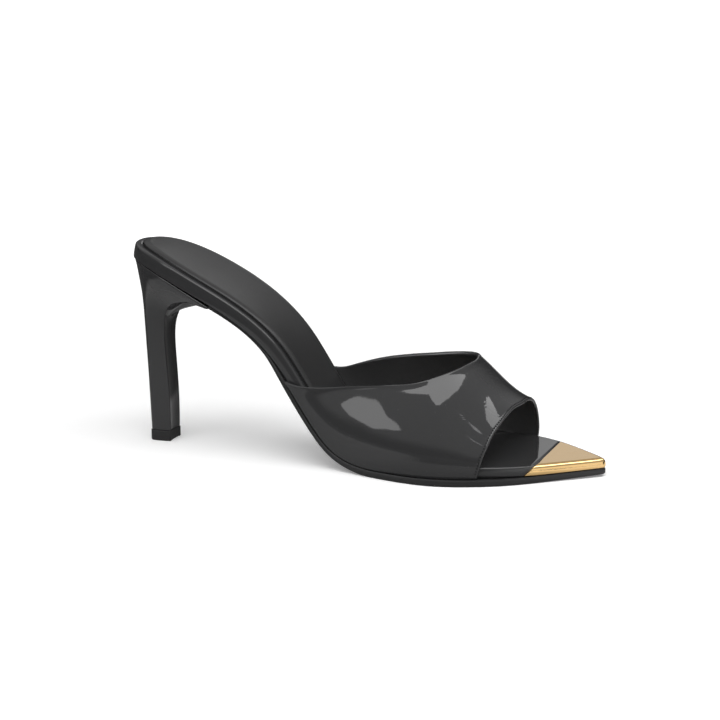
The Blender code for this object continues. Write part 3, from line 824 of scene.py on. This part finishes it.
def vampStations(lengths):  # from rim to rim, closer together in the strips along both edges
    start = 0.5 * vamp["wall"] / lengths
    zone = vamp["edgeZone"] / lengths
    between = 1 - 2 * start - 2 * zone
    stations = [start + zone * s for s in np.linspace(0, 1, vamp["collarRows"] + 1)]
    stations += [start + zone + between * s for s in np.linspace(0, 1, vamp["along"] + 1)[1:-1]]
    return stations + [1 - start - zone * (1 - s) for s in np.linspace(0, 1, vamp["toeRows"] + 1)]


def makeVamp():
    turns = np.linspace(0, 1, vamp["round"] + 1)
    r = 0.5 * vamp["wall"]
    lengths = vampLengths(turns)
    start = r / lengths
    rows = []
    steps = vampStations(lengths)
    # outer sheet, collar to toe
    for along in steps:
        here = vampPoint(along, turns)
        relief = creaseRelief(here) * ramp(along * lengths, *vamp["creaseFade"]) + edgeRelief(along, lengths)
        rows.append(here + relief[:, None] * vampNormal(along, turns))

    def rim(end):  # half a circle round the wall's middle, a little fuller where the edge is turned
        along = start if end == 0 else 1 - start
        here = vampPoint(along, turns)
        normal = vampNormal(along, turns)
        further = vampPoint(along + (0.01 if end else -0.01), turns) - here
        outward = further - np.sum(further * normal, -1, keepdims=True) * normal
        outward /= np.linalg.norm(outward, axis=-1, keepdims=True)
        extra = vamp["foldHeight"] if end else vamp["collarBead"]
        centre = here - (r - 0.5 * extra) * normal
        high = r + 0.5 * extra
        return [centre + high * math.cos(a) * normal + r * math.sin(a) * outward
                for a in arcPoints(0, 180, vamp["edgeSteps"])[1:-1]]

    rows += rim(1)
    inside = []
    for along in steps[::-1]:
        inside.append(vampPoint(along, turns) - vamp["wall"] * vampNormal(along, turns))
    innerStart = len(rows)
    rows += inside
    rows += rim(0)[::-1]
    points = np.array(rows)
    for side in (0, -1):
        feather = points[innerStart:innerStart + len(inside), side]
        feather[:, 2] = underside(feather[:, 0])
    count, wide = points.shape[:2]
    faces, slots = [], []
    for i in range(count):
        for j in range(wide - 1):
            a, b = i * wide + j, i * wide + j + 1
            c, d = ((i + 1) % count) * wide + j, ((i + 1) % count) * wide + j + 1
            faces.append([a, c, d, b])
            slots.append(1 if innerStart <= i < innerStart + len(inside) - 1 else 0)
    half = len(steps) + vamp["edgeSteps"] // 2
    for side in (0, wide - 1):
        # the feather edge is closed by strips between the outer and the inner sheet
        left = [(half - 1 - k) % count for k in range(count // 2 + 1)]
        right = [(half + k) % count for k in range(count // 2 + 1)]
        for k in range(min(len(left), len(right)) - 1):
            quad = [left[k], left[k + 1], right[k + 1], right[k]]
            face = list(dict.fromkeys(v * wide + side for v in quad))
            if len(face) > 2:
                faces.append(face if side else face[::-1])
                slots.append(0)
    materials = [vampPatent, leathers["liningLeather"]]
    return makePiece("vampUpper", points.reshape(-1, 3), faces, materials, slots=slots)


def makeStitches():  # one row in the groove behind the turned edge of the toe opening
    turns = np.linspace(stitches["from"], 1 - stitches["from"], 400)
    along = 1 - vamp["stitchInset"] / vampLengths(turns)
    return makeRow("toeStitches", vampPoint(along, turns), stitches, leathers["threadBlack"])


print("making the vamp")
vampUpper = makeVamp()
toeStitches = makeStitches()


# The metal cap: the band's own form a little proud, cut by a leaning edge, with a real wall
def makeToeCap():
    even = np.linspace(0, 1, cap["steps"] + 1)[: cap["evenSteps"] + 1]
    easing = (1 - np.linspace(0, 1, cap["tipSteps"] + 1)[1:]) ** cap["tipEasing"]
    steps = np.concatenate([even, 1 - (1 - even[-1]) * easing])
    sideRows = []
    for inset, share, extra in bandProfile(cap["rounding"])[1:]:
        pair = []
        for side in (-1, 1):
            start = cap["back"] * last["length"]
            for attempt in range(6):  # until the row starts at the leaning edge
                places = start + (last["length"] - start) * steps
                x, y = sideLine(places, side, inset - cap["proud"])
                ring = onBand(x, y, share * (bandThickness(x) + cap["proud"]) + extra)
                start -= float(capEdgeAhead(ring[0]))
            pair.append(ring)
        sideRows.append(pair)
    topOuter, topInner = sideRows[-1]
    columns = [outer for outer, inner in sideRows]
    columns += [topOuter + (topInner - topOuter) * g for g in np.linspace(0, 1, cap["across"] + 1)[1:-1]]
    columns += [inner for outer, inner in sideRows[::-1]]
    grid = np.array(columns)
    wide, tall = grid.shape[:2]
    corners = [i * tall + j for i in range(wide - 1) for j in range(tall - 1)]
    faces = [[a, a + 1, a + 1 + tall, a + tall] for a in corners]
    piece = makePiece("goldToeCap", grid.reshape(-1, 3), faces, [goldMetal], closed=False)
    weld = piece.modifiers.new("weld", "WELD")
    weld.merge_threshold = 0.00002
    wall = piece.modifiers.new("wall", "SOLIDIFY")
    wall.thickness = cap["wall"] * 0.001
    wall.offset = -1
    bevel = piece.modifiers.new("edge", "BEVEL")
    bevel.width = cap["edge"] * 0.001
    bevel.segments = 3
    bevel.limit_method = "ANGLE"
    bevel.angle_limit = math.radians(60)
    return bakeModifiers(piece)


print("making the toe cap")
goldToeCap = makeToeCap()

# The outsole: thin at the shank, thicker and wider under the ball
sole = {
    "atShank": 1.4,
    "atBall": 3.1,
    "backGap": 0.05,
    "edgeRounding": 0.7,
    "flatReach": 4.0,  # how far in both faces are drawn, and the share of the half width that limits it
    "flatShare": 0.55,
}
soleRows = [  # share, margin beyond the band, share of the way to the ball's thickness
    (0.21, -0.6, 0.0), (0.33, 0.0, 0.0), (0.37, 1.9, 0.3), (0.40, 2.3, 0.3), (0.46, 2.4, 0.4),
    (0.54, 2.5, 1.0), (0.82, 2.5, 1.0), (0.88, 0.9, 1.0), (0.95, 0.5, 0.87), (1.00, 0.4, 0.70),
]
seat = {"back": 1.2, "reach": 45.4, "lip": 1.0, "frontGap": 0.8, "gapCurve": 2.5}
lipRows = [  # share of the lip's height below the seat's face, inset in mm
    (1.0, 0.2), (0.75, 0.06), (0.45, 0.0), (0.28, 0.03), (0.12, 0.12), (0.03, 0.25), (0.0, 0.42),
]


def makeOutsole():
    margin = tableCurve(soleRows, 1)
    growth = tableCurve(soleRows, 2)
    start = seat["back"] + seat["reach"] + sole["backGap"]
    places = evenStations(start, last["length"], stationStep, 0, easedLength)

    def thickness(x):
        share = np.clip(growth(x / last["length"]), 0, 1)
        return sole["atShank"] + (sole["atBall"] - sole["atShank"]) * share

    out = margin(places / last["length"])
    rows = [(sole["flatReach"], 1.0)]
    for a in arcPoints(0, 90, 5):
        rows.append((sole["edgeRounding"] * (1 - math.sin(a)), 1.0 - 0.25 * (1 - math.cos(a))))
    rows += [(0.0, 0.4), (0.05, 0.12), (0.25, 0.0), (sole["flatReach"], 0.0)]
    rings = []
    for inset, share in rows:
        pair = []
        for side in (-1, 1):
            limit = np.minimum(inset, sole["flatShare"] * halfWidth(places) + out)
            x, y = sideLine(places, side, limit - out)
            x[0] = start
            pair.append(onBand(x, y, -last["clearance"] - share * thickness(x)))
        rings.append(np.concatenate([pair[0], pair[1][:-1][::-1]]))
    count = len(rings[0])
    faces = wallFaces(len(rings), count) + stripFaces(0, count, len(places) - 1, False, 1)
    faces += stripFaces((len(rings) - 1) * count, count, len(places) - 1, True, 1)
    material = leathers["soleLeather"]
    return makePiece("outsoleLeather", np.concatenate(rings), faces, [material], sharpAngle=50)


print("making the outsole")
outsoleLeather = makeOutsole()

# The covered heel
heel = {
    "groove": 0.8,
    "rings": 110,
    "side": 34,
    "front": 24,
    "cornerSteps": 5,
    "cornerSoftness": 0.8,  # how far from each front corner its rounding starts
    "cornerRounding": 0.32,  # share of the depth over which the back is rounded, and how squarely
    "cornerSquareness": 2.6,
    "crowding": 1.7,  # draws the rings' points together towards the back
    "topPiece": 5.0,
}
heelRows = [  # heights as shares of the band's height at the seat, then line, reaches and spreads
    # back, corner, centre, line, reach, centre reach, back spread, corner spread
    (0.059, 0.059, 0.059, 0.000, 0.000, 0.000, 0.000, 0.000),
    (0.200, 0.200, 0.200, 0.110, 0.018, 0.018, 0.002, 0.002),
    (0.360, 0.360, 0.360, 0.220, 0.016, 0.016, 0.010, 0.008),
    (0.510, 0.505, 0.500, 0.340, 0.010, 0.010, 0.035, 0.020),
    (0.635, 0.608, 0.590, 0.420, 0.022, 0.016, 0.110, 0.055),
    (0.745, 0.682, 0.645, 0.445, 0.062, 0.038, 0.300, 0.160),
    (0.835, 0.740, 0.684, 0.490, 0.148, 0.116, 0.560, 0.330),
    (0.905, 0.779, 0.718, 0.635, 0.334, 0.302, 0.800, 0.550),
    (0.955, 0.802, 0.752, 0.830, 0.630, 0.610, 0.950, 0.800),
]


def tipSide(f):
    square = heel["cornerSquareness"]
    rounding = (1 - (1 - np.clip(f / heel["cornerRounding"], 0, 1)) ** square) ** (1 / square)
    width = tipSizes["widthBack"] + (tipSizes["widthFront"] - tipSizes["widthBack"]) * f
    return 0.5 * width * rounding


def roundedRing(sideAt, frontAt, depth):  # from the back's middle round, with both front corners rounded
    soft = heel["cornerSoftness"]
    corners = [sideAt(np.ones(1), side)[0] for side in (-1, 1)]
    width = np.linalg.norm(corners[1] - corners[0])
    f = (1 - soft / depth) * np.linspace(0, 1, heel["side"] + 1) ** heel["crowding"]
    g = (1 - 2 * soft / width) * np.linspace(-1, 1, heel["front"] + 1)
    t = np.linspace(0, 1, heel["cornerSteps"] + 1)[1:-1, None]
    outer, front, inner = sideAt(f, -1), frontAt(g), sideAt(f, 1)[::-1]
    arcs = [(1 - t) ** 2 * a + 2 * t * (1 - t) * b + t**2 * c
            for a, b, c in ((outer[-1], corners[0], front[0]), (front[-1], corners[1], inner[0]))]
    return np.concatenate([outer, arcs[0], front, arcs[1], inner[:-1]])


def heelRing(row):
    back, corner, centre, line, reach, centreReach, backSpread, cornerSpread = row
    tall = float(underside(0))
    backX = tipSizes["back"] + (seat["back"] - tipSizes["back"]) * line
    depth = tipSizes["depth"] + (seat["reach"] - tipSizes["depth"]) * reach
    centreX = tipSizes["depth"] + (seat["reach"] - tipSizes["depth"]) * centreReach
    centreX = centreX - heel["groove"] * (1 - reach)
    seatLow = underside(seat["back"])
    seatHigh = underside(seat["back"] + seat["reach"])

    def sideAt(f, side):
        seatX = seat["back"] + f * seat["reach"]
        spread = backSpread + (cornerSpread - backSpread) * f
        wide = (1 - spread) * tipSide(f) + spread * halfWidth(seatX - seat["back"] * (1 - f))
        sag = underside(seatX) - seatLow - f * (seatHigh - seatLow)
        z = tall * (back + (corner - back) * f) + backSpread * sag
        return np.stack([backX + f * depth, spread * middle(seatX) + side * wide, z], -1)

    def frontAt(g):
        bow = 1 - g[:, None] ** 2
        first, second = sideAt(np.ones(1), -1), sideAt(np.ones(1), 1)
        line = first + (second - first) * (0.5 + 0.5 * g[:, None])
        return line + bow * np.array([centreX - depth, 0.0, tall * (centre - corner)])

    return roundedRing(sideAt, frontAt, depth)


def seatRing(height, inset):
    shrink = 1 - inset / (0.5 * last["seatWidth"])

    def sideAt(f, side):
        x = seat["back"] + f * seat["reach"]
        wide = halfWidth(x - seat["back"] * (1 - f)) * shrink
        low = height - seat["frontGap"] * f ** seat["gapCurve"]  # the gap opens towards the breast
        return onBand(x, middle(x) + side * wide, low)

    def frontAt(g):
        first, second = sideAt(np.ones(1), -1), sideAt(np.ones(1), 1)
        return first + (second - first) * (0.5 + 0.5 * g[:, None])

    return roundedRing(sideAt, frontAt, seat["reach"])


def closeHeelRing(start, upward):
    count = 2 * heel["side"] + heel["front"] + 2 * heel["cornerSteps"]
    front = [start + k for k in range(heel["side"], count - heel["side"] + 1)]
    return stripFaces(start, count, heel["side"], upward) + [front if upward else front[::-1]]


def heelFaces(levels, count):
    return closeHeelRing(0, False) + wallFaces(levels, count) + closeHeelRing((levels - 1) * count, True)


def makeHeel():
    levels = np.arange(len(heelRows))
    curves = [splineThrough(levels, column) for column in zip(*heelRows)]
    rings = []
    for at in np.linspace(0, levels[-1], heel["rings"]):
        rings.append(heelRing([float(curve(at)) for curve in curves]))
    rings[0][:, 2] = heel["topPiece"] + last["clearance"]
    for below, inset in lipRows:
        rings.append(seatRing(-last["clearance"] - below * seat["lip"], inset))
    faces = heelFaces(len(rings), len(rings[0]))
    return makePiece("coveredHeel", np.concatenate(rings), faces, [heelPatent], sharpAngle=38)


def makeTopPiece():
    ring = heelRing(heelRows[0])
    centre = ring.mean(0)
    away = ring[:, :2] - centre[:2]
    reach = np.linalg.norm(away, axis=1, keepdims=True)
    grown = away + away / reach * tipSizes["margin"]
    top = heel["topPiece"]
    rows = [(0.0, 0.965), (0.12, 0.99), (0.4, 1.0), (top - 0.4, 1.0), (top - 0.1, 0.99), (top, 0.965)]
    points = []
    for height, share in rows:
        flat = centre[:2] + grown * share
        points.append(np.column_stack([flat, np.full(len(flat), height)]))
    faces = heelFaces(len(rows), len(ring))
    material = leathers["topPieceRubber"]
    return makePiece("rubberTopPiece", np.concatenate(points), faces, [material], sharpAngle=50)


print("making the heel")
coveredHeel = makeHeel()
rubberTopPiece = makeTopPiece()

print("setting the stage")
camera = {
    "yaw": 19.062,
    "pitch": 12.933,
    "distance": 1131.4,
    "target": (111.0, 0.0, 45.39),
    "lens": 122.49,
}
yaw, pitch = math.radians(camera["yaw"]), math.radians(camera["pitch"])
backward = Vector((math.sin(yaw) * math.cos(pitch), -math.cos(yaw) * math.cos(pitch), math.sin(pitch)))
target = Vector((np.array(camera["target"]) + frameShift) * 0.001)
cameraData = bpy.data.cameras.new("photoCamera")
cameraData.lens = camera["lens"]
cameraData.sensor_width = 36
cameraData.clip_end = 30
photoCamera = bpy.data.objects.new("photoCamera", cameraData)
scene.collection.objects.link(photoCamera)
photoCamera.location = target + backward * camera["distance"] * 0.001
photoCamera.rotation_euler = backward.to_track_quat("Z", "Y").to_euler()
scene.camera = photoCamera

studio = {
    "floor": 6.0,
    "floorColour": (0.93, 0.93, 0.93),
    "nearPaintedReflection": (0.42, 0.42, 0.42),  # painted shade: the floor's colour for reflections and bounce light by the shoe, by the heel and far off, darker than the camera's pale floor
    "heelPaintedReflection": (0.52, 0.52, 0.52),
    "farPaintedShade": (0.10, 0.10, 0.10),
    "nearHalf": (0.17, 0.085),
    "paleReflectionToe": (0.26, -0.04, 0.14),  # painted reflections: paler rounds beside the toe and the heel that only reflections and bounce light see: centre and radius
    "paleReflectionHeel": (-0.12, -0.08, 0.12),
    "softRim": (0.95, 1.25),  # shares of a round's size between which it fades
    "lift": 0.20,  # the paper's own light to the camera by the shoe, and far from it
    "farLift": 0.95,
    "liftFrom": 0.16,
    "liftTo": 0.9,
    "low": 0.10,  # the room's light at the horizon before the shoe, high up, and at the horizon behind it
    "high": 0.50,
    "lowBehind": 0.02,
    "rise": (4, 13),  # degrees up between which the light grows, before the shoe and behind it
    "riseBehind": (8, 45),
    "turnBehind": (-0.1, 0.35),
    "overhead": 3.9,
}
overheadBox = [  # a large soft light 1 m over the floor, outline seen from above, in metres
    (-0.70, -0.68), (-0.54, -0.52), (-0.10, -0.20), (0.20, -0.02), (0.53, 0.17), (0.76, 0.71),
    (0.87, 0.95), (0.90, 0.80), (0.88, 0.30), (0.84, -0.06), (0.57, -0.61),
    (0.17, -1.06), (0.02, -1.11), (-0.18, -0.95), (-0.25, -0.80), (-0.44, -0.79), (-0.70, -0.76),
]
# Smaller ones: degrees round from the front and up from the floor
sideBox = [(-34, 17), (-36, 20), (-40, 24), (-44, 30), (-50, 32), (-50, 9), (-45, 10.5), (-40, 14)]
spotOne = [(52, 38), (57, 39.3), (57, 40.8), (52, 39.8)]
spotTwo = [(38.5, 27.7), (39.5, 27.7), (39.5, 28.7), (38.5, 28.7)]
toeCard = [(48, 0), (85, 0), (85, 20), (48, 20)]
cardBehind = [(187, 8), (203, 8), (203, 23), (187, 23)]
lights = [  # name, outline, the point that it faces and its distance in metres, strength
    ("sideLight", sideBox, (0.015, -0.03, 0.03), 1.6, 3.1),
    ("spotOne", spotOne, (0.058, -0.03, 0.029), 1.6, 3.4),
    ("spotTwo", spotTwo, (0.063, -0.03, 0.020), 1.6, 3.4),
    ("cardBehind", cardBehind, (0.09, 0.0, 0.008), 1.5, 0.66),
    ("toeCard", toeCard, (0.10, 0.0, 0.003), 0.6, 1.05),
]


def makeGlow(name, points, strength):  # a flat light that reflections show and the camera doesn't
    mesh = bpy.data.meshes.new(name)
    mesh.from_pydata([tuple(p) for p in points], [], [list(range(len(points)))])
    material, tree, shader, place = startMaterial(name, (0, 0, 0), 1.0)
    shader.inputs["Emission Color"].default_value = (1, 1, 1, 1)
    shader.inputs["Emission Strength"].default_value = strength
    mesh.materials.append(material)
    glow = bpy.data.objects.new(name, mesh)
    scene.collection.objects.link(glow)
    glow.visible_camera = False
    glow.visible_shadow = False


def facing(outline, origin, reach):  # an outline in degrees laid on a plane that faces a point
    rays = []
    for turn, lift in outline:
        a, e = math.radians(turn), math.radians(lift)
        rays.append(np.array([math.sin(a) * math.cos(e), -math.cos(a) * math.cos(e), math.sin(e)]))
    axis = sum(rays)
    axis = axis / np.linalg.norm(axis)
    return [np.array(origin) + ray * reach / (ray @ axis) for ray in rays]


def makeFloor():
    half = studio["floor"]
    mesh = bpy.data.meshes.new("paperFloor")
    corners = [(-half, -half, 0), (half, -half, 0), (half, half, 0), (-half, half, 0)]
    mesh.from_pydata(corners, [], [[0, 1, 2, 3]])
    material, tree, shader, place = startMaterial("paleFloor", studio["floorColour"], 0.6)
    shader.inputs["Specular IOR Level"].default_value = 0.2

    def beyond(centre, size, start, end):  # softly from 0 to 1 across the rim of an ellipse
        moved = vectorNode(tree, "SUBTRACT", place, (*centre, 0))
        shaped = vectorNode(tree, "DIVIDE", moved["Vector"], (*size, 1))
        reach = vectorNode(tree, "LENGTH", shaped["Vector"])
        return rangeNode(tree, reach["Value"], 0.0, 1.0, start, end, soft=True)

    sight = tree.nodes.new("ShaderNodeLightPath").outputs["Is Camera Ray"]
    # for all but camera rays the floor's colour is painted: darker away from the shoe as painted shade,
    # paler rounds by the toe and heel as painted reflections
    away = beyond((0, 0), studio["nearHalf"], *studio["softRim"])
    table = mixBetween(tree, away, studio["nearPaintedReflection"], studio["farPaintedShade"])
    for paper, colour in (("paleReflectionToe", "floorColour"), ("paleReflectionHeel", "heelPaintedReflection")):
        x, y, radius = studio[paper]
        away = beyond((x, y), (radius, radius), *studio["softRim"])
        table = mixBetween(tree, away, studio[colour], table)
    mixBetween(tree, sight, table, studio["floorColour"], shader.inputs["Base Color"])
    shader.inputs["Emission Color"].default_value = (1, 1, 1, 1)
    away = beyond((0, 0), (1, 1), studio["liftFrom"], studio["liftTo"])
    further = mathNode(tree, "MULTIPLY", away, studio["farLift"] - studio["lift"])
    lift = mathNode(tree, "ADD", further, studio["lift"])
    tree.links.new(mathNode(tree, "MULTIPLY", sight, lift), shader.inputs["Emission Strength"])
    mesh.materials.append(material)
    floor = bpy.data.objects.new("paperFloor", mesh)
    scene.collection.objects.link(floor)


def makeRoom():  # white to the camera, and to everything else a room that is darker near the floor
    world = bpy.data.worlds.new("softRoom")
    scene.world = world
    world.use_nodes = True
    tree = world.node_tree
    direction = tree.nodes.new("ShaderNodeTexCoord").outputs["Generated"]
    parts = tree.nodes.new("ShaderNodeSeparateXYZ")
    tree.links.new(direction, parts.inputs[0])

    def rising(low, degrees):
        start, end = (math.sin(math.radians(d)) for d in degrees)
        return rangeNode(tree, parts.outputs["Z"], low, studio["high"], start, end, soft=True)

    inFront = rising(studio["low"], studio["rise"])
    behind = rising(studio["lowBehind"], studio["riseBehind"])
    share = rangeNode(tree, parts.outputs["Y"], 0.0, 1.0, *studio["turnBehind"], soft=True)
    change = mathNode(tree, "MULTIPLY", mathNode(tree, "SUBTRACT", behind, inFront), share)
    sight = tree.nodes.new("ShaderNodeLightPath").outputs["Is Camera Ray"]
    strength = mathNode(tree, "MAXIMUM", mathNode(tree, "ADD", inFront, change), sight)
    tree.nodes["Background"].inputs["Color"].default_value = (1, 1, 1, 1)
    tree.links.new(strength, tree.nodes["Background"].inputs["Strength"])


makeFloor()
makeRoom()
makeGlow("overheadLight", [(x, y, 1.0) for x, y in overheadBox], studio["overhead"])
for name, outline, origin, reach, strength in lights:
    makeGlow(name, facing(outline, origin, reach), strength)

for piece, node, slotName in (
    (footbedBand, "footbed", "patent"),
    (sockPad, "sock", "sock"),
    (vampUpper, "vamp", "patent"),
    (goldToeCap, "toe_cap", "gold"),
    (outsoleLeather, "outsole", "sole"),
    (coveredHeel, "heel", "patent"),
    (rubberTopPiece, "top_piece", "top_piece"),
):
    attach(piece, "root")
    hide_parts(node)
for piece, slotName in ((toeStitches, "patent"), (sockTeeth, "sock")):
    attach(piece, "root")

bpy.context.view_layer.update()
for kept in bpy.data.objects:
    if kept.type == "MESH":
        print(kept.name, len(kept.data.polygons), "faces")
